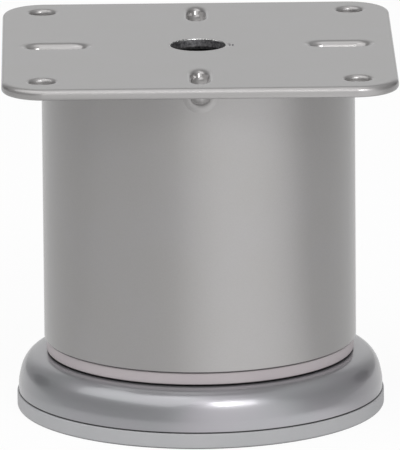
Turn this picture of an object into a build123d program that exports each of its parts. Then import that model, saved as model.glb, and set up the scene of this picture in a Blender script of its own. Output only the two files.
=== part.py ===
# Furniture leg: a pressed steel plate welded on a round tube, with a plastic insert in the
# tube's lower end that holds the nut of a screw-adjusted round foot.
# Millimetres, +Z up. The origin is on the floor, on the tube's axis. The foot is fully wound in.

from build123d import *
import math
import os

# Heights, from the floor up
base_height = 4.0
seam_gap = 0.35
shell_rise = 10.1
rest_gap = 0.35
flange_thickness = 3.2
tube_length = 73.4
plate_thickness = 2.8

# Tube
tube_diameter = 80.0
tube_wall = 1.5
tube_end_chamfer = 0.3

# Top plate, beyond the tube on each side
plate_overhang_x = 10.0
plate_overhang_y = 10.0
plate_corner_radius = 11.0
plate_top_round = 1.4
plate_bottom_round = 1.0
screw_hole_diameter = 6.2
screw_hole_inset = 10.3
screw_hole_round = 0.6
centre_hole_diameter = 14.0

# Pressed beads in the plate, which sit in notches in the tube's top edge
bead_count = 4
bead_length = 15.0
bead_overhang = 3.6
bead_mouth_width = 5.2
bead_mouth_round = 2.0
bead_depth = 4.2
bead_draft = 15.0
bead_floor_round = 1.1
bead_side_wall = 1.8
bead_floor_wall = 2.4
bead_nose_round = 3.6
bead_root_round = 0.8
notch_clearance = 0.15
notch_flare_angle = 45.0

# Tack welds between the tube's inner wall and the plate
weld_leg = 2.5
weld_arc = 36.0
weld_fullness = 0.58
weld_clearance = 0.02

# Tube insert
flange_inset = 0.6
flange_edge_round = 0.4
insert_clearance = 0.15
skirt_height = 14.0
skirt_wall = 2.0
skirt_lead_in = 0.8
crush_rib_count = 12
crush_rib_radius = 0.45
crush_rib_height = 10.0
crush_rib_clearance = 0.02
insert_hub_wall = 3.0
insert_hub_height = 20.0
insert_rib_count = 8
insert_rib_thickness = 1.8
insert_rib_drop = 4.0
insert_rib_step = 2.0
insert_bore_clearance = 0.5

# Spindle and its nut, with the thread's crest as the spindle's outside
spindle_diameter = 9.9
thread_clearance = 0.05
spindle_length = 36.0
spindle_point_chamfer = 0.9
slot_width = 1.8
slot_depth = 2.6
collar_overhang = 5.0
collar_thickness = 3.0
collar_edge_round = 0.5
journal_diameter = 8.0
journal_clearance = 0.05
axial_play = 0.05
nut_across_flats = 17.0
nut_height = 8.0
nut_recess = 0.5
nut_fit = 0.05
nut_chamfer_angle = 30.0

# Washer and clip that hold the spindle in the base
washer_thickness = 1.5
washer_overhang = 0.5
washer_clearance = 0.3
clip_thickness = 1.0
clip_width = 2.6
clip_groove_depth = 0.5
clip_clearance = 0.1
clip_gap_angle = 70.0
journal_tail = 1.2

# Round base
foot_diameter = 93.4
base_overhang = 0.4
base_edge_round = 0.6
shelf_width = 0.6
web_thickness = 2.0
rim_width = 3.5
rib_ground_gap = 0.5
base_rib_count = 12
base_rib_thickness = 1.8
ring_rib_radius = 29.0
base_hub_step = 0.5
clip_recess_clearance = 1.2
gusset_count = 8
gusset_thickness = 1.8
gusset_drop = 0.8
upstand_clearance = 0.3
upstand_wall = 1.8
upstand_height = 2.4

# Shell over the base
shell_wall = 2.0
shoulder_width = 8.6
shoulder_fullness_out = 0.64
shoulder_fullness_up = 0.85
shoulder_steps = 6
collar_gap = 1.0
sleeve_wall = 2.0

# Places that follow from the sizes above
land_z = base_height + seam_gap
shell_top_z = land_z + shell_rise
flange_z = shell_top_z + rest_gap
tube_z = flange_z + flange_thickness
plate_z = tube_z + tube_length
top_z = plate_z + plate_thickness
tube_radius = tube_diameter / 2
tube_bore_radius = tube_radius - tube_wall
plate_width = tube_diameter + 2 * plate_overhang_x
plate_depth = tube_diameter + 2 * plate_overhang_y
bead_centre = tube_radius + bead_overhang - bead_length / 2
spindle_radius = spindle_diameter / 2
collar_radius = spindle_radius + collar_overhang
collar_z = shell_top_z - collar_thickness
washer_z = collar_z - axial_play - washer_thickness
hub_top_z = washer_z
shell_hole_radius = collar_radius + collar_gap
sleeve_radius = shell_hole_radius + sleeve_wall
base_hub_radius = sleeve_radius + base_hub_step
journal_radius = journal_diameter / 2
groove_radius = journal_radius - clip_groove_depth
clip_radius = groove_radius + clip_width
clip_z = journal_tail + clip_clearance
clip_recess_z = clip_z + clip_thickness + clip_clearance
clip_recess_radius = clip_radius + clip_recess_clearance
foot_radius = foot_diameter / 2
base_radius = foot_radius + base_overhang
land_radius = foot_radius - shelf_width
web_z = base_height - web_thickness
shell_bore_radius = foot_radius - shell_wall
upstand_radius = shell_bore_radius - upstand_clearance
nut_z = flange_z + nut_recess
nut_corner_radius = nut_across_flats / math.sqrt(3)
insert_hub_radius = nut_corner_radius + insert_hub_wall
skirt_radius = tube_bore_radius - insert_clearance
skirt_bore_radius = skirt_radius - skirt_wall
skirt_top_z = tube_z + skirt_height
insert_hub_top_z = tube_z + insert_hub_height

# How far a cutting tool runs past the face that it cuts
past = 1.0


def disc(radius, low, high):
    return Pos(0, 0, low) * Cylinder(radius, high - low, align=(Align.CENTER, Align.CENTER, Align.MIN))


def ring(outer, inner, low, high):
    return disc(outer, low, high) - disc(inner, low - past, high + past)


def at_height(solid, z, radius_limit=None):
    """The edges of a solid that lie flat at height z, within a distance of the axis if one is given."""
    found = []
    for edge in solid.edges():
        box = edge.bounding_box()
        flat = abs(box.min.Z - z) < 0.001 and abs(box.max.Z - z) < 0.001
        reach = math.hypot(edge.center().X, edge.center().Y)
        near = radius_limit is None or reach < radius_limit
        if flat and near:
            found.append(edge)
    return found


def turned(points):
    """A solid of revolution about the Z axis from a closed outline of (radius, height) points."""
    outline = Polyline(*[(r, 0, z) for r, z in points], close=True)
    return revolve(make_face(outline), axis=Axis.Z, revolution_arc=360)


def bead_tool(length, width, high, depth, draft, floor_round):
    """A slot with sloping sides, going down from one height, at the place of the bead on +X."""
    mouth = Plane.XY.offset(high) * Pos(bead_centre, 0) * SlotOverall(length, width)
    tool = extrude(mouth, depth, dir=(0, 0, -1), taper=draft)
    return fillet(at_height(tool, high - depth), floor_round)


def bead_locations():
    return PolarLocations(0, bead_count)


def make_top_plate():
    outline = RectangleRounded(plate_width, plate_depth, plate_corner_radius)
    plate = extrude(Plane.XY.offset(plate_z) * outline, plate_thickness)
    plate = fillet(at_height(plate, top_z), plate_top_round)
    plate = fillet(at_height(plate, plate_z), plate_bottom_round)

    nose_drop = bead_depth + bead_floor_wall - plate_thickness
    nose = bead_tool(
        bead_length + 2 * bead_side_wall,
        bead_mouth_width + 2 * bead_side_wall,
        plate_z, nose_drop, bead_draft, bead_nose_round,
    )
    for place in bead_locations():
        plate += place * nose
    plate = fillet(at_height(plate, plate_z, tube_radius + bead_overhang + 2 * bead_side_wall), bead_root_round)

    groove = bead_tool(bead_length, bead_mouth_width, top_z, bead_depth, bead_draft, bead_floor_round)
    for place in bead_locations():
        plate -= place * groove
    plate = fillet(at_height(plate, top_z, tube_radius + bead_overhang + past), bead_mouth_round)

    screw_hole = disc(screw_hole_diameter / 2, plate_z - past, top_z + past)
    hole_x = plate_width - 2 * screw_hole_inset
    hole_y = plate_depth - 2 * screw_hole_inset
    for place in GridLocations(hole_x, hole_y, 2, 2):
        plate -= place * screw_hole
    rims = []
    for edge in at_height(plate, top_z):
        if edge.geom_type == GeomType.CIRCLE and abs(edge.radius - screw_hole_diameter / 2) < 0.001:
            rims.append(edge)
    plate = fillet(rims, screw_hole_round)
    return plate - disc(centre_hole_diameter / 2, plate_z - past, top_z + past)


def make_leg_tube():
    tube = ring(tube_radius, tube_bore_radius, tube_z, plate_z)
    tube = chamfer(at_height(tube, tube_z), tube_end_chamfer)
    nose_drop = bead_depth + bead_floor_wall - plate_thickness
    notch = bead_tool(
        bead_length + 2 * (bead_side_wall + notch_clearance),
        bead_mouth_width + 2 * (bead_side_wall + notch_clearance),
        plate_z, nose_drop + notch_clearance, bead_draft, bead_nose_round,
    )
    flare_width = bead_side_wall + notch_clearance + bead_root_round
    flare_mouth = Plane.XY.offset(plate_z) * Pos(bead_centre, 0) * SlotOverall(
        bead_length + 2 * flare_width, bead_mouth_width + 2 * flare_width
    )
    flare = extrude(flare_mouth, bead_root_round, dir=(0, 0, -1), taper=notch_flare_angle)
    for place in bead_locations():
        tube -= place * notch
        tube -= place * flare
    return tube


def make_weld_beads():
    outer = tube_bore_radius - weld_clearance
    toe = (outer - weld_leg, 0, plate_z)
    heel = (outer, 0, plate_z - weld_leg)
    bulge = (outer - weld_fullness * weld_leg, 0, plate_z - weld_fullness * weld_leg)
    face = ThreePointArc(toe, bulge, heel)
    outline = face + Line(heel, (outer, 0, plate_z)) + Line((outer, 0, plate_z), toe)
    weld = revolve(make_face(outline), axis=Axis.Z, revolution_arc=weld_arc)
    welds = []
    for index in range(bead_count):
        angle = 360 / bead_count * (index + 0.5) - weld_arc / 2
        welds.append(Rot(0, 0, angle) * weld)
    return Compound(children=[piece.solid() for piece in welds])


def hexagon(across_flats, low, high):
    return extrude(Plane.XY.offset(low) * RegularPolygon(across_flats / math.sqrt(3), 6), high - low)


def make_tube_insert():
    flange = disc(tube_radius - flange_inset, flange_z, tube_z)
    flange = fillet(flange.edges().filter_by(GeomType.CIRCLE), flange_edge_round)
    skirt = ring(skirt_radius, skirt_bore_radius, tube_z - flange_thickness / 2, skirt_top_z)
    skirt = chamfer(at_height(skirt, skirt_top_z), skirt_lead_in)
    hub = disc(insert_hub_radius, tube_z - flange_thickness / 2, insert_hub_top_z)
    hub = fillet(at_height(hub, insert_hub_top_z), flange_edge_round)
    insert = flange + skirt + hub

    rib_outline = Polyline(
        (spindle_radius, 0, flange_z + flange_thickness / 2),
        (skirt_radius - skirt_wall / 2, 0, flange_z + flange_thickness / 2),
        (skirt_radius - skirt_wall / 2, 0, skirt_top_z - insert_rib_step),
        (skirt_bore_radius, 0, skirt_top_z - insert_rib_step),
        (insert_hub_radius, 0, insert_hub_top_z - insert_rib_drop),
        (spindle_radius, 0, insert_hub_top_z - insert_rib_drop),
        close=True,
    )
    rib = extrude(make_face(rib_outline), insert_rib_thickness / 2, both=True)
    for place in PolarLocations(0, insert_rib_count):
        insert += place * rib

    crush_centre = tube_bore_radius - crush_rib_clearance - crush_rib_radius
    crush_rib = Pos(crush_centre, 0, 0) * disc(crush_rib_radius, tube_z - past, tube_z + crush_rib_height)
    for place in PolarLocations(0, crush_rib_count, start_angle=180 / crush_rib_count):
        insert += place * crush_rib

    insert -= disc(spindle_radius + insert_bore_clearance, flange_z - past, insert_hub_top_z + past)
    pocket_top = nut_z + nut_height + nut_fit
    return insert - hexagon(nut_across_flats + 2 * nut_fit, flange_z - past, pocket_top)


def make_spindle_nut():
    nut = hexagon(nut_across_flats, nut_z, nut_z + nut_height)
    flat_radius = nut_across_flats / 2
    drop = (nut_corner_radius + past - flat_radius) * math.tan(math.radians(nut_chamfer_angle))
    trim = turned([
        (0, nut_z), (flat_radius, nut_z), (nut_corner_radius + past, nut_z + drop),
        (nut_corner_radius + past, nut_z + nut_height - drop),
        (flat_radius, nut_z + nut_height), (0, nut_z + nut_height),
    ])
    return (nut & trim) - disc(spindle_radius + thread_clearance, nut_z - past, nut_z + nut_height + past)


def make_spindle():
    thread_top = shell_top_z + spindle_length
    rod = disc(spindle_radius, collar_z, thread_top)
    rod = chamfer(at_height(rod, thread_top), spindle_point_chamfer)
    collar = disc(collar_radius, collar_z, shell_top_z)
    collar = fillet(collar.edges().filter_by(GeomType.CIRCLE), collar_edge_round)
    journal = disc(journal_radius, 0, collar_z)
    journal -= disc(journal_radius + past, -past, journal_tail - clip_groove_depth)
    spindle = rod + collar + journal
    groove_top = clip_z + clip_thickness + clip_clearance / 2
    spindle -= ring(journal_radius + past, groove_radius, clip_z - clip_clearance / 2, groove_top)
    slot = Pos(0, 0, thread_top) * Box(2 * spindle_diameter, slot_width, 2 * slot_depth)
    return spindle - slot


def make_thrust_washer():
    return ring(collar_radius + washer_overhang, journal_radius + washer_clearance, washer_z, collar_z - axial_play)


def make_retaining_clip():
    clip = ring(clip_radius, groove_radius, clip_z, clip_z + clip_thickness)
    reach = 2 * clip_radius
    half = math.radians(clip_gap_angle / 2)
    mouth = Polyline(
        (0, 0), (reach * math.cos(half), reach * math.sin(half)),
        (reach * math.cos(half), -reach * math.sin(half)), close=True,
    )
    return clip - extrude(make_face(mouth), clip_recess_z)


def make_foot_base():
    web = disc(base_radius, web_z, base_height) + disc(land_radius, base_height - web_thickness / 2, land_z)
    rim = ring(base_radius, base_radius - rim_width, 0, base_height)
    base = web + rim
    base = fillet(at_height(base, 0), base_edge_round)
    outer_top = [edge for edge in at_height(base, base_height) if abs(edge.radius - base_radius) < 0.001]
    base = fillet(outer_top, shelf_width / 2)

    base += disc(base_hub_radius, rib_ground_gap, hub_top_z)
    base += ring(upstand_radius, upstand_radius - upstand_wall, base_height, land_z + upstand_height)
    base += ring(
        ring_rib_radius + base_rib_thickness / 2, ring_rib_radius - base_rib_thickness / 2,
        rib_ground_gap, base_height,
    )

    rib_length = base_radius - rim_width / 2
    rib = Pos(0, 0, rib_ground_gap) * Box(
        rib_length, base_rib_thickness, base_height - rib_ground_gap,
        align=(Align.MIN, Align.CENTER, Align.MIN),
    )
    for place in PolarLocations(0, base_rib_count):
        base += place * rib

    gusset_outline = Polyline(
        (journal_radius + past, 0, base_height),
        (upstand_radius - upstand_wall / 2, 0, base_height),
        (upstand_radius - upstand_wall / 2, 0, land_z + upstand_height - gusset_drop),
        (base_hub_radius, 0, hub_top_z - gusset_drop),
        (journal_radius + past, 0, hub_top_z - gusset_drop),
        close=True,
    )
    gusset = extrude(make_face(gusset_outline), gusset_thickness / 2, both=True)
    for place in PolarLocations(0, gusset_count):
        base += place * gusset

    base -= disc(journal_radius + journal_clearance, -past, hub_top_z + past)
    return base - disc(clip_recess_radius, -past, clip_recess_z)


def shoulder(outer_radius, crown_radius, low, high):
    """The rounded shoulder of the shell, from its crown out and down to its lower edge."""
    points = []
    for step in range(shoulder_steps + 1):
        angle = math.pi / 2 * step / shoulder_steps
        out = max(math.sin(angle), 0) ** shoulder_fullness_out
        up = max(math.cos(angle), 0) ** shoulder_fullness_up
        points.append((crown_radius + (outer_radius - crown_radius) * out, 0, low + (high - low) * up))
    points[-1] = (outer_radius, 0, low)
    return Spline(*points, tangents=[(1, 0, 0), (0, 0, -1)])


def make_foot_shell():
    crown_radius = foot_radius - shoulder_width
    ceiling_z = shell_top_z - shell_wall
    outside = shoulder(foot_radius, crown_radius, land_z, shell_top_z)
    inside = shoulder(shell_bore_radius, crown_radius, land_z, ceiling_z)
    outline = outside + inside
    outline += Line((foot_radius, 0, land_z), (shell_bore_radius, 0, land_z))
    outline += Polyline(
        (crown_radius, 0, ceiling_z), (sleeve_radius, 0, ceiling_z), (sleeve_radius, 0, hub_top_z),
        (shell_hole_radius, 0, hub_top_z), (shell_hole_radius, 0, shell_top_z), (crown_radius, 0, shell_top_z),
    )
    return revolve(make_face(outline), axis=Axis.Z, revolution_arc=360)


nodes = {
    "top_plate": make_top_plate,
    "leg_tube": make_leg_tube,
    "weld_beads": make_weld_beads,
    "tube_insert": make_tube_insert,
    "spindle_nut": make_spindle_nut,
    "spindle": make_spindle,
    "thrust_washer": make_thrust_washer,
    "retaining_clip": make_retaining_clip,
    "foot_base": make_foot_base,
    "foot_shell": make_foot_shell,
}

os.makedirs("parts", exist_ok=True)
for name, make in nodes.items():
    export_step(make(), f"parts/{name}.step")
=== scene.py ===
# %% [markdown]
# # A metal furniture leg
# The real thing is a short round steel tube under a square pressed steel plate. Both carry one
# silver powder coat. A grey plastic insert closes the tube's lower end and holds a nut. A round
# foot hangs on a screw in that nut: a matte base below, a glossy lacquered shell above.
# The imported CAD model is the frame: it says where every piece is. This script gives each piece
# its finish, remakes the ones whose looks need softer shapes, and sets up a small photo studio.

# %% Load the frame
import math

import bmesh
import bpy
from mathutils import Matrix, Vector


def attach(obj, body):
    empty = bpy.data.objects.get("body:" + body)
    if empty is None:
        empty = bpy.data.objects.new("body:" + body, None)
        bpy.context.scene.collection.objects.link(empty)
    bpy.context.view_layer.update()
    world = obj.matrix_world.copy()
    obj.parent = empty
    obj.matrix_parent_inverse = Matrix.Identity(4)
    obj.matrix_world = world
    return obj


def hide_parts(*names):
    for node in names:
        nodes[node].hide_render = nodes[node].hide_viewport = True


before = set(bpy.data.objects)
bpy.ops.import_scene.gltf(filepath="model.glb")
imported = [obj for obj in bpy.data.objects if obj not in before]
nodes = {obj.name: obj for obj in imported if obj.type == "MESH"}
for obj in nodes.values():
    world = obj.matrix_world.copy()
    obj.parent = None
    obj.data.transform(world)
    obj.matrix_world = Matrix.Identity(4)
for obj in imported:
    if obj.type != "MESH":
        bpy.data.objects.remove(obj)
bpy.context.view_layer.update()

# %% [markdown]
# Blender counts in metres, and a fitting like this one is measured in millimetres, so one named
# value turns one into the other. Colours are written as sRGB hex values, the way a paint chart or
# a web page gives them. Light adds up in linear values, so one function turns them.

# %% Units and colours
mm = 0.001
full_turn = 2 * math.pi


def linear(hex_colour):
    """An sRGB hex value as a linear colour with full alpha."""
    channels = []
    for start in (0, 2, 4):
        value = int(hex_colour[start:start + 2], 16) / 255
        if value <= 0.04045:
            channels.append(value / 12.92)
        else:
            channels.append(((value + 0.055) / 1.055) ** 2.4)
    return (*channels, 1.0)


print("mid grey A6A6A4 in linear values:", [round(value, 3) for value in linear("A6A6A4")[:3]])

# %% [markdown]
# A material is a small network of nodes. One helper adds a node, sets its options and fills its
# inputs. An input gets either a plain value or the output of another node.

# %% One helper for every node


def add_node(tree, kind, inputs=None, **settings):
    """Adds a node, sets its settings, and gives each named or numbered input a value or a link."""
    node = tree.nodes.new(kind)
    for name, value in settings.items():
        setattr(node, name, value)
    for socket, value in (inputs or {}).items():
        if isinstance(value, bpy.types.NodeSocket):
            tree.links.new(value, node.inputs[socket])
        else:
            node.inputs[socket].default_value = value
    return node


def new_material(name):
    """An empty node material, with its tree and its output node."""
    material = bpy.data.materials.new(name)
    material.use_nodes = True
    tree = material.node_tree
    tree.nodes.clear()
    return material, tree, tree.nodes.new("ShaderNodeOutputMaterial")


# %% [markdown]
# ## The camera
# The photograph was taken with a long lens from a little above the plate. The lines of the square
# plate and the ellipses of the tube and the foot give the camera's place: about 2.6 m away, 14
# degrees above the floor, and turned and tilted by less than a degree. A long lens keeps the
# sides of the tube almost parallel, as they are there.

# %% Place the camera
view_turn = math.radians(0.692)
view_height = math.radians(13.825)
view_tilt = math.radians(-0.456)
view_distance = 2618.8 * mm
view_target = Vector((0.16 * mm, 0, 46.85 * mm))
sensor_width = 36.0
lens_length = 920.5

forward = Vector((
    math.sin(view_turn) * math.cos(view_height),
    math.cos(view_turn) * math.cos(view_height),
    -math.sin(view_height),
))
level_right = Vector((math.cos(view_turn), -math.sin(view_turn), 0))
level_up = level_right.cross(forward)
right = math.cos(view_tilt) * level_right + math.sin(view_tilt) * level_up
up = math.cos(view_tilt) * level_up - math.sin(view_tilt) * level_right

camera_data = bpy.data.cameras.new("photo_camera")
camera_data.sensor_fit = "HORIZONTAL"
camera_data.sensor_width = sensor_width
camera_data.lens = lens_length
camera_data.clip_end = 20.0
camera = bpy.data.objects.new("photo_camera", camera_data)
bpy.context.scene.collection.objects.link(camera)
camera.matrix_world = Matrix.Translation(view_target - view_distance * forward) @ Matrix(
    (right, up, -forward)
).transposed().to_4x4()
bpy.context.scene.camera = camera
print("camera at", [round(value, 3) for value in camera.location])

# %% [markdown]
# ## The studio
# A glossy round foot mirrors the whole room, so the room is drawn as well. The photograph's
# foot shows what stood round it: a white sweep low behind it, a bright window in front on the
# right, a pale ceiling, dimmer walls on the other sides, and a small dark gap at each side of the
# sweep. Each is a soft patch of directions, read from the world's own coordinates: degrees to the
# viewer's right, degrees above the floor, and how far it reaches. Matte surfaces get one plain
# level of light, only mirrors see the patches, and what the camera sees directly is plain white.

# %% The room round the object
scene = bpy.context.scene
scene.view_settings.view_transform = "Standard"

room_light = 0.75
room_shade = 0.38
sweep_glow = 0.42
sweep = {"turn": 180, "height": 18, "edge": 34, "core": 8}
ceiling_glow = 1.0
ceiling_start, ceiling_full = 0.88, 1.0
window_glow = 1.0
window = {"turn": 25, "height": 8, "edge": 50, "core": 12}
upper_right_glow = 0.3
upper_right = {"turn": 95, "height": 75, "edge": 48, "core": 5}
gap_glow = -0.3
right_gap = {"turn": 130, "height": 13, "edge": 12, "core": 8}
left_gap = {"turn": -128, "height": 13, "edge": 12, "core": 8}

world = bpy.data.worlds.new("studio")
scene.world = world
world.use_nodes = True
tree = world.node_tree
tree.nodes.clear()


def toward(turn, height):
    """The direction at some degrees to the viewer's right and above the floor, from the object."""
    turn, height = math.radians(turn), math.radians(height)
    return Vector((
        math.sin(turn) * math.cos(height), -math.cos(turn) * math.cos(height), math.sin(height),
    ))


def soft_step(tree, value, start, end):
    """Rises softly from 0 at start to 1 at end."""
    return add_node(tree, "ShaderNodeMapRange", {
        "Value": value, "From Min": start, "From Max": end,
    }, interpolation_type="SMOOTHSTEP").outputs["Result"]


def patch(tree, direction, turn, height, edge, core):
    """A soft round patch of directions: 0 at edge degrees from its middle, 1 at core degrees."""
    nearness = add_node(tree, "ShaderNodeVectorMath", {
        0: direction, 1: toward(turn, height),
    }, operation="DOT_PRODUCT").outputs["Value"]
    return soft_step(tree, nearness, math.cos(math.radians(edge)), math.cos(math.radians(core)))


def added_up(tree, level, zones):
    """A plain level with each zone's share added to it."""
    for zone, glow in zones:
        level = add_node(tree, "ShaderNodeMath", {0: zone, 1: glow, 2: level},
                         operation="MULTIPLY_ADD").outputs["Value"]
    return level


looking = add_node(tree, "ShaderNodeTexCoord").outputs["Generated"]
upward = add_node(tree, "ShaderNodeSeparateXYZ", {0: looking}).outputs["Z"]
room = added_up(tree, room_shade, (
    (patch(tree, looking, **sweep), sweep_glow),
    (soft_step(tree, upward, ceiling_start, ceiling_full), ceiling_glow),
    (patch(tree, looking, **window), window_glow),
    (patch(tree, looking, **upper_right), upper_right_glow),
    (patch(tree, looking, **right_gap), gap_glow),
    (patch(tree, looking, **left_gap), gap_glow),
))
rays = add_node(tree, "ShaderNodeLightPath")
mirrored = add_node(tree, "ShaderNodeMath", {
    0: rays.outputs["Is Glossy Ray"], 1: rays.outputs["Is Transmission Ray"],
}, operation="MAXIMUM")
lit_or_mirrored = add_node(tree, "ShaderNodeMix", {
    "Factor": mirrored.outputs["Value"], "A": room_light, "B": room,
})
seen = add_node(tree, "ShaderNodeMix", {
    "Factor": rays.outputs["Is Camera Ray"], "A": lit_or_mirrored.outputs["Result"], "B": 1.0,
})
background = add_node(tree, "ShaderNodeBackground", {"Strength": seen.outputs["Result"]})
world_output = add_node(tree, "ShaderNodeOutputWorld", {"Surface": background.outputs["Background"]})
print("the world lights at", room_light, "and mirrors from", room_shade, "up")

# %% [markdown]
# The lamps are large rectangles that face the foot. Each is placed by its direction as seen from
# the object: degrees to the right of the viewer, degrees above the floor, and a distance. Its
# brightness is what a mirror would show of it, so the lamp's power follows from its area. The
# soft box has a brighter core, as a lamp behind cloth has, and together they make the white patch
# on the shell. The lamps are hidden from the camera, but not from reflections.

# %% The lamps


def add_lamp(name, turn, height, distance, width, depth, brightness):
    """A rectangular lamp that looks at the middle of the object, with the brightness of its face."""
    away = toward(turn, height)
    lamp = bpy.data.lights.new(name, "AREA")
    lamp.shape = "RECTANGLE"
    lamp.size = width
    lamp.size_y = depth
    lamp.energy = brightness * math.pi * width * depth
    lamp_object = bpy.data.objects.new(name, lamp)
    scene.collection.objects.link(lamp_object)
    facing = away.to_track_quat("Z", "Y").to_matrix().to_4x4()
    lamp_object.matrix_world = Matrix.Translation(view_target + distance * away) @ facing
    lamp_object.visible_camera = False


add_lamp("soft_box", turn=24, height=40, distance=1.0, width=0.44, depth=0.36, brightness=3.2)
add_lamp("soft_box_core", turn=17, height=40, distance=0.98, width=0.18, depth=0.28, brightness=6.5)
add_lamp("side_panel", turn=-58, height=56, distance=1.2, width=1.6, depth=1.0, brightness=1.1)

# %% [markdown]
# The floor is a white sheet. Seen directly it is brought most of the way to white, as the sweep
# behind it is, and the rest is its own lit colour, which keeps the soft shadow under the foot. The
# tube mirrors mostly the floor, so in a mirror the floor is as bright as the photograph's tube
# shows it: bright towards the window, a little bright on the left, and mid grey elsewhere. That
# gives the tube its light right half and its darker flanks.

# %% The floor
floor_size = 6.0
floor_whitening = 0.92
floor_shade = 0.64
floor_left_glow = 0.14
floor_left = {"turn": -45, "height": 0, "edge": 50, "core": 10}
floor_window_glow = 0.56
floor_window = {"turn": window["turn"] + 5, "height": 0, "edge": 52, "core": 5}

floor_material, tree, output = new_material("white_sweep")
paint = add_node(tree, "ShaderNodeBsdfDiffuse", {"Color": linear("F4F4F4")})
place = add_node(tree, "ShaderNodeTexCoord").outputs["Object"]
outward = add_node(tree, "ShaderNodeVectorMath", {0: place}, operation="NORMALIZE").outputs["Vector"]
mirror_level = added_up(tree, floor_shade, (
    (patch(tree, outward, **floor_left), floor_left_glow),
    (patch(tree, outward, **floor_window), floor_window_glow),
))
rays = add_node(tree, "ShaderNodeLightPath")
seen_level = add_node(tree, "ShaderNodeMix", {
    "Factor": rays.outputs["Is Camera Ray"], "A": mirror_level, "B": 1.0,
})
glow = add_node(tree, "ShaderNodeEmission", {"Strength": seen_level.outputs["Result"]})
any_mirror = add_node(tree, "ShaderNodeMath", {
    0: rays.outputs["Is Glossy Ray"], 1: rays.outputs["Is Transmission Ray"],
}, operation="MAXIMUM")
share = add_node(tree, "ShaderNodeMix", {
    "Factor": rays.outputs["Is Camera Ray"], "A": any_mirror.outputs["Value"], "B": floor_whitening,
})
mixed = add_node(tree, "ShaderNodeMixShader", {
    "Fac": share.outputs["Result"], 1: paint.outputs["BSDF"], 2: glow.outputs["Emission"],
})
tree.links.new(mixed.outputs["Shader"], output.inputs["Surface"])

shape = bmesh.new()
bmesh.ops.create_grid(shape, x_segments=1, y_segments=1, size=floor_size / 2)
floor_mesh = bpy.data.meshes.new("floor")
shape.to_mesh(floor_mesh)
shape.free()
floor = bpy.data.objects.new("floor", floor_mesh)
scene.collection.objects.link(floor)
floor_mesh.materials.append(floor_material)
print("floor is", floor_size, "m square")

# %% [markdown]
# ## What the finishes share
# No real surface is one flat colour, so each finish drifts between two near tones in soft clouds.
# Paint and moulded plastic also have a fine relief, a hundredth of a millimetre high, which a bump
# node fakes by tilting the surface's normals. The colour is also darkened where another surface is
# nearer than 0.6 mm: that is painted shade, standing in for the shadow that falls in tight joints.

# %% Clouds, relief and painted shade in joints
cloud_size = 14 * mm
relief_height = 0.01 * mm
seam_shade = 0.6 * mm


def cloudy_tint(tree, place, size, detail, dark, light, spread=0.15):
    """A colour that drifts between two tones in clouds of a given size, and the clouds' level."""
    clouds = add_node(tree, "ShaderNodeTexNoise", {
        "Vector": place, "Scale": 1 / size, "Detail": detail,
    })
    tint = add_node(tree, "ShaderNodeValToRGB", {"Fac": clouds.outputs["Fac"]})
    dark_stop, light_stop = tint.color_ramp.elements
    dark_stop.position = 0.5 - spread
    dark_stop.color = linear(dark)
    light_stop.position = 0.5 + spread
    light_stop.color = linear(light)
    return tint.outputs["Color"], clouds.outputs["Fac"]


def fine_relief(tree, place, size, detail, strength):
    """The normals of a fine relief with grains of a given size."""
    grains = add_node(tree, "ShaderNodeTexNoise", {
        "Vector": place, "Scale": 1 / size, "Detail": detail,
    })
    return add_node(tree, "ShaderNodeBump", {
        "Height": grains.outputs["Fac"], "Strength": strength, "Distance": relief_height,
    }).outputs["Normal"]


def painted_joint_shade(tree, colour):
    """The colour, darkened where another surface is near: painted shade in the joints."""
    return add_node(tree, "ShaderNodeAmbientOcclusion", {
        "Color": colour, "Distance": seam_shade,
    }, samples=8).outputs["Color"]


print("clouds of", round(cloud_size / mm, 1), "mm, relief of", round(relief_height / mm, 3), "mm")

# %% [markdown]
# ## Silver powder coat
# The plate and the tube are sprayed with a polyester powder that carries aluminium flakes, and
# baked. The flakes lie in a clear binder, so the coat is part metal and part plain grey, and it
# brightens softly towards a lamp. The binder's own smooth skin adds the small sharp lights in the
# beads and along the edges. The press burnished the steel in the beads, and the flakes lie flatter
# there, so the same coat is made once more with a higher gloss. Baked powder keeps a faint orange
# peel about half a millimetre wide. The flakes are a few hundredths of a millimetre across, which
# is too fine to show here, so they are drawn as 0.2 mm cells.

# %% Powder coat
flake_size = 0.2 * mm
flake_contrast = 0.05
peel_size = 0.55 * mm


def silver_powder_coat(name, roughness):
    """Grey paint full of aluminium flakes, under its own clear and slightly wavy skin."""
    material, tree, output = new_material(name)
    place = add_node(tree, "ShaderNodeTexCoord").outputs["Object"]
    flakes = add_node(tree, "ShaderNodeTexVoronoi", {"Vector": place, "Scale": 1 / flake_size})
    flake_tone = add_node(tree, "ShaderNodeMapRange", {
        "Value": flakes.outputs["Color"], "To Min": -0.5, "To Max": 0.5,
    })
    brightness = add_node(tree, "ShaderNodeMath", {
        0: flake_tone.outputs["Result"], 1: flake_contrast, 2: 1.0,
    }, operation="MULTIPLY_ADD")
    tint, _ = cloudy_tint(tree, place, cloud_size, 2.0, "A19F9E", "A2A0A0")
    colour = add_node(tree, "ShaderNodeVectorMath", {
        0: tint, "Scale": brightness.outputs["Value"],
    }, operation="SCALE")
    shader = add_node(tree, "ShaderNodeBsdfPrincipled", {
        "Base Color": colour.outputs["Vector"], "Metallic": 0.8, "Roughness": roughness,
        "Coat Weight": 1.0, "Coat Roughness": 0.05, "Coat IOR": 1.7,
        "Normal": fine_relief(tree, place, peel_size, 1.0, strength=0.35),
    })
    tree.links.new(shader.outputs["BSDF"], output.inputs["Surface"])
    return material


powder_coat = silver_powder_coat("silver_powder_coat", 0.42)
drawn_coat = silver_powder_coat("silver_coat_on_drawn_steel", 0.28)
print("made", powder_coat.name, "and", drawn_coat.name)

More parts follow.
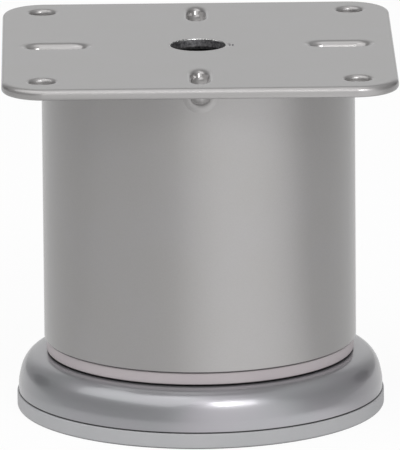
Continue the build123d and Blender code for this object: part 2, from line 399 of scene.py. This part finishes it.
# %% [markdown]
# ## Lacquered shell
# The foot's shell is moulded in plastic and sprayed with a metallic silver base coat, and then
# with a clear gloss coat. The clear coat gives the hard white patch of the soft box, and the
# flakes under it give the soft bright bands.

# %% Clear-coated silver lacquer


def silver_lacquer(name):
    """Sprayed silver under a clear gloss coat."""
    material, tree, output = new_material(name)
    place = add_node(tree, "ShaderNodeTexCoord").outputs["Object"]
    tint, _ = cloudy_tint(tree, place, cloud_size, 2.0, "A0A1A4", "A3A1A6")
    # The base colour carries painted shade in the joints, from an ambient occlusion node.
    shader = add_node(tree, "ShaderNodeBsdfPrincipled", {
        "Base Color": painted_joint_shade(tree, tint), "Metallic": 0.72, "Roughness": 0.33,
        "Coat Weight": 1.0, "Coat Roughness": 0.08, "Coat IOR": 1.5,
    })
    tree.links.new(shader.outputs["BSDF"], output.inputs["Surface"])
    return material


lacquer = silver_lacquer("silver_lacquer")
print("made", lacquer.name)

# %% [markdown]
# ## Moulded plastics
# The insert is polypropylene and the base is a harder ABS. Both came out of a finely sparked
# mould, so they are matte, with a faint even grain. Polypropylene's colour sits a little towards
# pink here, and the base is a neutral light grey.

# %% Matte moulded plastic
grain_size = 0.3 * mm


def moulded_plastic(name, dark, light, roughness):
    """Matte plastic with the fine grain of its mould."""
    material, tree, output = new_material(name)
    place = add_node(tree, "ShaderNodeTexCoord").outputs["Object"]
    tint, _ = cloudy_tint(tree, place, cloud_size, 3.0, dark, light, spread=0.2)
    # The base colour carries painted shade in the joints, from an ambient occlusion node.
    shader = add_node(tree, "ShaderNodeBsdfPrincipled", {
        "Base Color": painted_joint_shade(tree, tint), "Roughness": roughness, "IOR": 1.49,
        "Normal": fine_relief(tree, place, grain_size, 2.0, strength=0.4),
    })
    tree.links.new(shader.outputs["BSDF"], output.inputs["Surface"])
    return material


insert_plastic = moulded_plastic("grey_polypropylene", "B7AFB2", "BBB4B6", 0.5)
base_plastic = moulded_plastic("grey_abs", "ACADAF", "B0B0B2", 0.45)
print("made", insert_plastic.name, "and", base_plastic.name)

# %% [markdown]
# ## Bare and plated steel
# The spindle, its nut and the washer are zinc plated: bright, slightly blue, and uneven where the
# zinc crystals grew. The clip is blackened spring steel. The tack welds are bare steel with a
# blue and brown heat tint. The centre hole's wall is bare and dull, and its edge is chipped, with
# bright specks where the coat broke off.

# %% Steel finishes
zinc_crystal = 1.2 * mm
punch_streak = 0.6 * mm
chip_size = 0.35 * mm
gloss_spread = 0.08


def steel_finish(name, dark, light, roughness, pattern_size):
    """Metal whose colour and gloss change together over a small pattern."""
    material, tree, output = new_material(name)
    place = add_node(tree, "ShaderNodeTexCoord").outputs["Object"]
    tint, pattern = cloudy_tint(tree, place, pattern_size, 4.0, dark, light)
    gloss = add_node(tree, "ShaderNodeMapRange", {
        "Value": pattern, "To Min": roughness - gloss_spread, "To Max": roughness + gloss_spread,
    })
    shader = add_node(tree, "ShaderNodeBsdfPrincipled", {
        "Base Color": tint, "Metallic": 1.0, "Roughness": gloss.outputs["Result"],
    })
    tree.links.new(shader.outputs["BSDF"], output.inputs["Surface"])
    return material


zinc = steel_finish("zinc_plate", "B9BEC4", "C9CCD0", 0.32, zinc_crystal)
spring_steel = steel_finish("blackened_spring_steel", "2E2E30", "3A3A3D", 0.45, zinc_crystal)
weld_metal = steel_finish("heat_tinted_weld", "5B5E6B", "8A7A66", 0.45, zinc_crystal)
raw_steel = steel_finish("raw_punched_steel", "77767A", "BDBCBE", 0.5, punch_streak)
chipped_edge = steel_finish("chipped_edge", "6E6E6C", "F6F6F6", 0.25, chip_size)
print("made", zinc.name, spring_steel.name, weld_metal.name, raw_steel.name, chipped_edge.name)

# %% [markdown]
# ## Shaping tools
# Almost every form on this leg is round or a stretched round: the tube, the foot, the holes, the
# plate with its rounded corners, and the long beads. One recipe makes them all. A half outline is
# drawn as a chain of points, each corner is rounded by a vertex bevel, and the chain is spun about
# the Z axis. Pushing the four quarters of the result apart turns circles into slots or rounded
# squares. Everything is drawn in millimetres and brought to metres when its mesh is made.

# %% Spin an outline, and stretch it
hair = 0.001
level_reach = 0.001
weld_reach = 0.01


def outline_chain(shape, points, rounds, segments=6):
    """A chain of edges through (radius, height) points, with its inner corners rounded."""
    chain = [shape.verts.new((radius, 0, height)) for radius, height in points]
    for first, second in zip(chain, chain[1:]):
        shape.edges.new((first, second))
    for corner, length in zip(chain[1:-1], rounds):
        if length:
            bmesh.ops.bevel(
                shape, geom=[corner], offset=length, offset_type="OFFSET", segments=segments,
                profile=0.5, affect="VERTICES", material=-1,
            )
    return shape


def open_edges_at(shape, height):
    """The open edges that lie at one height."""
    return [edge for edge in shape.edges if edge.is_boundary and all(
        abs(vert.co.z - height) < level_reach for vert in edge.verts)]


def spun(points, rounds, steps, stretch=(0, 0), centre=(0, 0), turn=0.0, closed_floor=False,
         lengthen=1.0):
    """A bmesh spun from an outline, made longer along X, its quarters pushed apart, and placed."""
    shape = outline_chain(bmesh.new(), points, rounds)
    half_step = Matrix.Rotation(full_turn / steps / 2, 3, "Z")
    bmesh.ops.rotate(shape, matrix=half_step, verts=shape.verts)
    bmesh.ops.spin(
        shape, geom=shape.verts[:] + shape.edges[:], axis=(0, 0, 1), cent=(0, 0, 0),
        angle=full_turn, steps=steps, use_merge=True,
    )
    for vert in shape.verts:
        vert.co.x = lengthen * vert.co.x + math.copysign(stretch[0], vert.co.x)
        vert.co.y += math.copysign(stretch[1], vert.co.y)
    if closed_floor:
        bmesh.ops.edgeloop_fill(shape, edges=open_edges_at(shape, points[-1][1]))
    bmesh.ops.translate(shape, vec=(*centre, 0), verts=shape.verts)
    bmesh.ops.rotate(shape, matrix=Matrix.Rotation(turn, 3, "Z"), verts=shape.verts)
    return shape


def add_to(shape, part, finish=0):
    """Puts one bmesh into another, with one numbered finish on all its faces."""
    for face in part.faces:
        face.material_index = finish
    carrier = bpy.data.meshes.new("carrier")
    part.to_mesh(carrier)
    part.free()
    shape.from_mesh(carrier)
    bpy.data.meshes.remove(carrier)


def fill_level(shape, height):
    """Closes the flat face at one height, between all the open loops that lie there."""
    rim = open_edges_at(shape, height)
    bmesh.ops.triangle_fill(shape, edges=rim, use_beauty=True, normal=(0, 0, 1))


def trim_level(shape, height, side):
    """Cuts flat at one height and throws away what lies above it (1) or below it (-1)."""
    bmesh.ops.bisect_plane(
        shape, geom=shape.verts[:] + shape.edges[:] + shape.faces[:], dist=0.0001,
        plane_co=(0, 0, height), plane_no=(0, 0, side), clear_outer=True,
    )


def weld(shape, reach):
    """Merges points nearer than the reach, and turns all faces outwards."""
    bmesh.ops.remove_doubles(shape, verts=shape.verts, dist=reach)
    bmesh.ops.recalc_face_normals(shape, faces=shape.faces)


def finished_piece(name, shape, materials, body, replaced):
    """Turns a bmesh in millimetres into a smooth piece in its place that rides on a body."""
    weld(shape, 0.0005)
    bmesh.ops.scale(shape, vec=(mm, mm, mm), verts=shape.verts)
    open_edges = len([edge for edge in shape.edges if not edge.is_manifold])
    mesh = bpy.data.meshes.new(name)
    shape.to_mesh(mesh)
    shape.free()
    mesh.shade_smooth()
    for material in materials:
        mesh.materials.append(material)
    piece = bpy.data.objects.new(name, mesh)
    scene.collection.objects.link(piece)
    modifier = piece.modifiers.new("flat_faces_stay_flat", "WEIGHTED_NORMAL")
    modifier.weight = 100
    modifier.keep_sharp = True
    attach(piece, body)
    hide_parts(*replaced)
    print(name, "has", len(mesh.polygons), "faces and", open_edges, "open edges")


# %% [markdown]
# ## The pressed plate
# The plate is one blank of 2.8 mm steel. A press gave it rounded edges, four long beads that
# stand in notches of the tube, and its holes. The beads are the skilled part: their lips roll
# over softly because the sheet was drawn down, not cut, and each is a groove above and a nose
# below. The two at the sides look wider and blunter than the other two. The corner holes are
# coated, but the centre hole was punched last, or wiped clean, and shows raw dark steel. A mesh
# keeps its finishes in a numbered list, so each of the plate's four gets a name for its number.
# The glossier coat in the grooves starts 0.06 mm below the plate's face.

# %% Sizes of the plate and its beads
plate_low, plate_high = 91.4, 94.2
plate_core = 39.0
corner_radius = 11.0
top_round, bottom_round = 1.4, 1.0
screw_hole_place, screw_hole_radius = 39.7, 3.1
screw_hole_lip, screw_hole_break = 1.1, 0.2
centre_hole_radius = 7.0
bead_centre = 36.1
mouth_length = 15.0
groove_floor, groove_floor_round = 91.5, 1.0
side_groove = {"mouth": 2.6, "floor": 1.7, "lip": 1.5, "end_stretch": 1.3}
slim_groove = {"mouth": 2.4, "floor": 1.9, "lip": 1.0, "end_stretch": 2.0}
grooves = {0: side_groove, 90: slim_groove, 180: side_groove, 270: slim_groove}
nose_half_width, nose_floor, nose_floor_half_width = 3.3, 87.9, 2.2
nose_core, nose_end_stretch = 2.8, 2.0
nose_root_round, nose_floor_round = 0.6, 2.2
floor_opening = 0.3
flat_strip = 0.4
burnish_start = 0.06
coated, raw, chipped, drawn = range(4)
plate_finishes = [powder_coat, raw_steel, chipped_edge, drawn_coat]
print("each bead is", mouth_length, "mm long at its mouth")

# %% Shape the plate
plate = bmesh.new()
add_to(plate, spun(
    [
        (corner_radius - top_round - flat_strip, plate_high), (corner_radius, plate_high),
        (corner_radius, plate_low), (corner_radius - bottom_round - flat_strip, plate_low),
    ],
    [top_round, bottom_round], steps=96, stretch=(plate_core, plate_core),
))
for across, along in ((1, 1), (-1, 1), (-1, -1), (1, -1)):
    add_to(plate, spun(
        [
            (screw_hole_radius + screw_hole_lip + flat_strip, plate_high),
            (screw_hole_radius, plate_high), (screw_hole_radius, plate_low),
            (screw_hole_radius + screw_hole_break + flat_strip, plate_low),
        ],
        [screw_hole_lip, screw_hole_break], steps=48,
        centre=(across * screw_hole_place, along * screw_hole_place),
    ))
for turn, groove in grooves.items():
    place = {"centre": (bead_centre, 0), "turn": math.radians(turn)}
    mouth = groove["mouth"]
    groove_core = mouth_length / 2 - groove["end_stretch"] * mouth
    add_to(plate, spun(
        [
            (mouth + groove["lip"] + flat_strip, plate_high), (mouth, plate_high),
            (groove["floor"], groove_floor), (floor_opening, groove_floor),
        ],
        [groove["lip"], groove_floor_round], steps=96, stretch=(groove_core, 0),
        lengthen=groove["end_stretch"], closed_floor=True, **place,
    ), drawn)
    add_to(plate, spun(
        [
            (nose_half_width + nose_root_round + flat_strip / 2, plate_low),
            (nose_half_width, plate_low),
            (nose_floor_half_width, nose_floor), (floor_opening, nose_floor),
        ],
        [nose_root_round, nose_floor_round], steps=96, stretch=(nose_core, 0),
        lengthen=nose_end_stretch, closed_floor=True, **place,
    ))
for face in plate.faces:
    if face.material_index == drawn and face.calc_center_median().z > plate_high - burnish_start:
        face.material_index = coated
print("plate so far:", len(plate.faces), "faces round the edges, holes and beads")

# %% [markdown]
# The punch for the centre hole bent the top edge in a little, sheared two thirds of the
# thickness, and broke the rest out slightly wider. The coat is chipped along the bent edge, and
# below it the steel is bare and dark. Two small nicks beside the hole show bare steel too.

# %% Punch the centre hole and close the two faces
bent_low = plate_high - 0.4
bent_round, bent_strip = 0.3, 0.45
shear_end = 92.1
broken_radius = centre_hole_radius + 0.2
break_round = 0.1
nick_places = ((8.1, -0.8), (8.9, -0.8))
nick_half_length, nick_half_width = 0.8, 0.2
nick_floor, nick_floor_half_width = plate_high - 0.3, 0.15
nick_opening = 0.02

add_to(plate, spun(
    [
        (centre_hole_radius + bent_strip, plate_high), (centre_hole_radius, plate_high),
        (centre_hole_radius, bent_low),
    ],
    [bent_round], steps=96,
), chipped)
add_to(plate, spun(
    [
        (centre_hole_radius, bent_low), (centre_hole_radius, shear_end),
        (broken_radius, plate_low), (broken_radius + flat_strip, plate_low),
    ],
    [break_round, break_round], steps=96,
), raw)
for nick_place in nick_places:
    add_to(plate, spun(
        [
            (nick_half_width, plate_high), (nick_floor_half_width, nick_floor),
            (nick_opening, nick_floor),
        ],
        [0], steps=16, stretch=(0, nick_half_length), centre=nick_place, closed_floor=True,
    ), raw)
fill_level(plate, plate_high)
fill_level(plate, plate_low)
finished_piece("pressed_plate", plate, plate_finishes, "leg", ["top_plate"])

# %% [markdown]
# ## The tube
# The tube is a cut length of welded steel tube. Its lower end is cut square and lightly broken,
# and its upper end has four notches for the beads. The powder coat runs into the thin gap round
# each bead and bridges it, so plate and tube look like one casting there. A boolean cut with the
# bead's own shape leaves that gap closed. The punch that made the notch pushed up a soft rim round
# it, which is a half ring, spun and bent to the tube's surface. A hairline parts the tube from the
# insert's flange below.

# %% Spin the tube and notch it
tube_low = 18.15
tube_radius, tube_bore = 40.0, 38.5
tube_break = 0.3
notch_top = plate_low + 1.0
rim_inner, rim_outer, rim_height = 2.2, 4.6, 90.1
rim_crest_radius, rim_crest = rim_inner + 0.9, tube_radius + 0.5
rim_root = tube_radius - 0.6
rim_outer_edge = tube_radius - 0.05
rim_top = plate_low + 0.2
rim_round, rim_crest_round = 0.1, 0.8

tube = spun(
    [
        (tube_bore, plate_low), (tube_bore, tube_low), (tube_radius, tube_low),
        (tube_radius, plate_low), (tube_bore + hair, plate_low),
    ],
    [tube_break, tube_break, 0], steps=256,
)
weld(tube, weld_reach)

notch = bmesh.new()
for turn in grooves:
    one = spun(
        [
            (nose_half_width, notch_top), (nose_half_width, plate_low),
            (nose_floor_half_width, nose_floor), (floor_opening, nose_floor),
        ],
        [0, nose_floor_round], steps=96, stretch=(nose_core, 0), lengthen=nose_end_stretch,
        centre=(bead_centre, 0), turn=math.radians(turn), closed_floor=True,
    )
    bmesh.ops.edgeloop_fill(one, edges=open_edges_at(one, notch_top))
    bmesh.ops.recalc_face_normals(one, faces=one.faces)
    add_to(notch, one)


def notch_rim(turn):
    """The soft half ring round one notch, bent to the tube's surface and closed at its ends."""
    rim = spun(
        [
            (rim_inner, rim_root), (rim_inner, tube_radius), (rim_crest_radius, rim_crest),
            (rim_outer, rim_outer_edge), (rim_outer, rim_root), (rim_inner, rim_root - hair),
        ],
        [rim_round, rim_crest_round, rim_round, 0], steps=64,
    )
    weld(rim, weld_reach)
    bmesh.ops.rotate(rim, matrix=Matrix.Rotation(full_turn / 4, 3, "Y"), verts=rim.verts)
    bmesh.ops.translate(rim, vec=(0, 0, rim_height), verts=rim.verts)
    for vert in rim.verts:
        vert.co.x -= vert.co.y ** 2 / (2 * tube_radius)
    trim_level(rim, rim_top, 1)
    bmesh.ops.holes_fill(rim, edges=rim.edges, sides=0)
    bmesh.ops.recalc_face_normals(rim, faces=rim.faces)
    bmesh.ops.rotate(rim, matrix=Matrix.Rotation(turn, 3, "Z"), verts=rim.verts)
    return rim


def bare_object(name, shape):
    """A plain object from a bmesh, to cut with."""
    mesh = bpy.data.meshes.new(name)
    shape.to_mesh(mesh)
    shape.free()
    thing = bpy.data.objects.new(name, mesh)
    scene.collection.objects.link(thing)
    return thing


def cut(body_shape, tool_shape):
    """Cuts one closed bmesh out of another and gives the rest back as a bmesh."""
    body_object = bare_object("body", body_shape)
    tool_object = bare_object("tool", tool_shape)
    boolean = body_object.modifiers.new("cut", "BOOLEAN")
    boolean.operation = "DIFFERENCE"
    boolean.solver = "EXACT"
    boolean.object = tool_object
    result = body_object.evaluated_get(bpy.context.evaluated_depsgraph_get())
    shape = bmesh.new()
    shape.from_mesh(result.to_mesh())
    result.to_mesh_clear()
    for thing in (body_object, tool_object):
        mesh = thing.data
        bpy.data.objects.remove(thing)
        bpy.data.meshes.remove(mesh)
    return shape


tube = cut(tube, notch)
for turn in grooves:
    add_to(tube, notch_rim(math.radians(turn)))
finished_piece("coated_tube", tube, [powder_coat], "leg", ["leg_tube"])

# %% [markdown]
# ## The spindle
# The foot is raised and lowered by an M10 screw. A thread is one V of its profile, swept round
# the axis and up by one pitch a turn, so spin does it in one call: each turn's upper edge meets
# the next turn's lower edge. Two flat cuts end the screw. Below the thread sit the round collar
# that carries the load, and the journal that turns in the foot.

# %% Wind the thread
pitch = 1.5
crest_radius, root_radius = 4.95, 4.06
crest_half_width, root_half_width = 0.09, 0.19
collar_low, collar_top = 11.45, 14.45
screw_top = 50.45
steps_per_turn = 48
turns = 26

screw = bmesh.new()
start = collar_top - pitch
profile = [
    (root_radius, 0.0), (root_radius, root_half_width),
    (crest_radius, pitch / 2 - crest_half_width), (crest_radius, pitch / 2 + crest_half_width),
    (root_radius, pitch - root_half_width), (root_radius, pitch),
]
chain = [screw.verts.new((radius, 0, start + height)) for radius, height in profile]
for first, second in zip(chain, chain[1:]):
    screw.edges.new((first, second))
bmesh.ops.spin(
    screw, geom=screw.verts[:] + screw.edges[:], axis=(0, 0, 1), cent=(0, 0, 0),
    angle=turns * full_turn, steps=turns * steps_per_turn, dvec=(0, 0, pitch / steps_per_turn),
    use_merge=False,
)
bmesh.ops.remove_doubles(screw, verts=screw.verts, dist=0.005)
for height, side in ((collar_top, -1), (screw_top, 1)):
    trim_level(screw, height, side)
    bmesh.ops.edgeloop_fill(screw, edges=open_edges_at(screw, height))
bmesh.ops.recalc_face_normals(screw, faces=screw.faces)
print("thread of", turns, "turns:", len(screw.faces), "faces")

# %% Slot the tip, and add the collar and the journal
tip_chamfer = 0.9
slot_length, slot_width, slot_depth = 20, 1.8, 2.6
ring_outer, ring_top = crest_radius + 1, screw_top + 0.5
collar_radius, collar_round = 9.95, 0.5
journal_radius, journal_low = 4.0, 0.7
clip_groove_radius, clip_groove_high, clip_groove_low = 3.5, 2.35, 1.25
neck_round, journal_round = 0.2, 0.25
cap_opening = 0.05

slot = bmesh.new()
bmesh.ops.create_cube(slot, size=1.0)
bmesh.ops.scale(slot, vec=(slot_length, slot_width, 2 * slot_depth), verts=slot.verts)
bmesh.ops.translate(slot, vec=(0, 0, screw_top), verts=slot.verts)
screw = cut(screw, slot)
point_ring = spun(
    [
        (crest_radius - tip_chamfer, ring_top), (crest_radius - tip_chamfer, screw_top),
        (crest_radius, screw_top - tip_chamfer), (ring_outer, screw_top - tip_chamfer),
        (ring_outer, ring_top), (crest_radius - tip_chamfer, ring_top + hair),
    ],
    [0, 0, 0, 0], steps=96,
)
weld(point_ring, weld_reach)
screw = cut(screw, point_ring)
add_to(screw, spun(
    [
        (cap_opening, collar_top), (collar_radius, collar_top), (collar_radius, collar_low),
        (journal_radius, collar_low), (journal_radius, clip_groove_high),
        (clip_groove_radius, clip_groove_high), (clip_groove_radius, clip_groove_low),
        (journal_radius, clip_groove_low), (journal_radius, journal_low),
        (cap_opening, journal_low),
    ],
    [collar_round, collar_round, neck_round, 0, 0, 0, 0, journal_round], steps=96,
    closed_floor=True,
))
bmesh.ops.edgeloop_fill(screw, edges=open_edges_at(screw, collar_top))
finished_piece("threaded_spindle", screw, [zinc], "spindle", ["spindle"])

# %% Finishes on the CAD nodes
finishes = {
    "weld_beads": weld_metal,
    "tube_insert": insert_plastic,
    "spindle_nut": zinc,
    "thrust_washer": zinc,
    "retaining_clip": spring_steel,
    "foot_base": base_plastic,
    "foot_shell": lacquer,
}
for name, material in finishes.items():
    nodes[name].data.materials.clear()
    nodes[name].data.materials.append(material)
print("finished", len(finishes), "nodes")
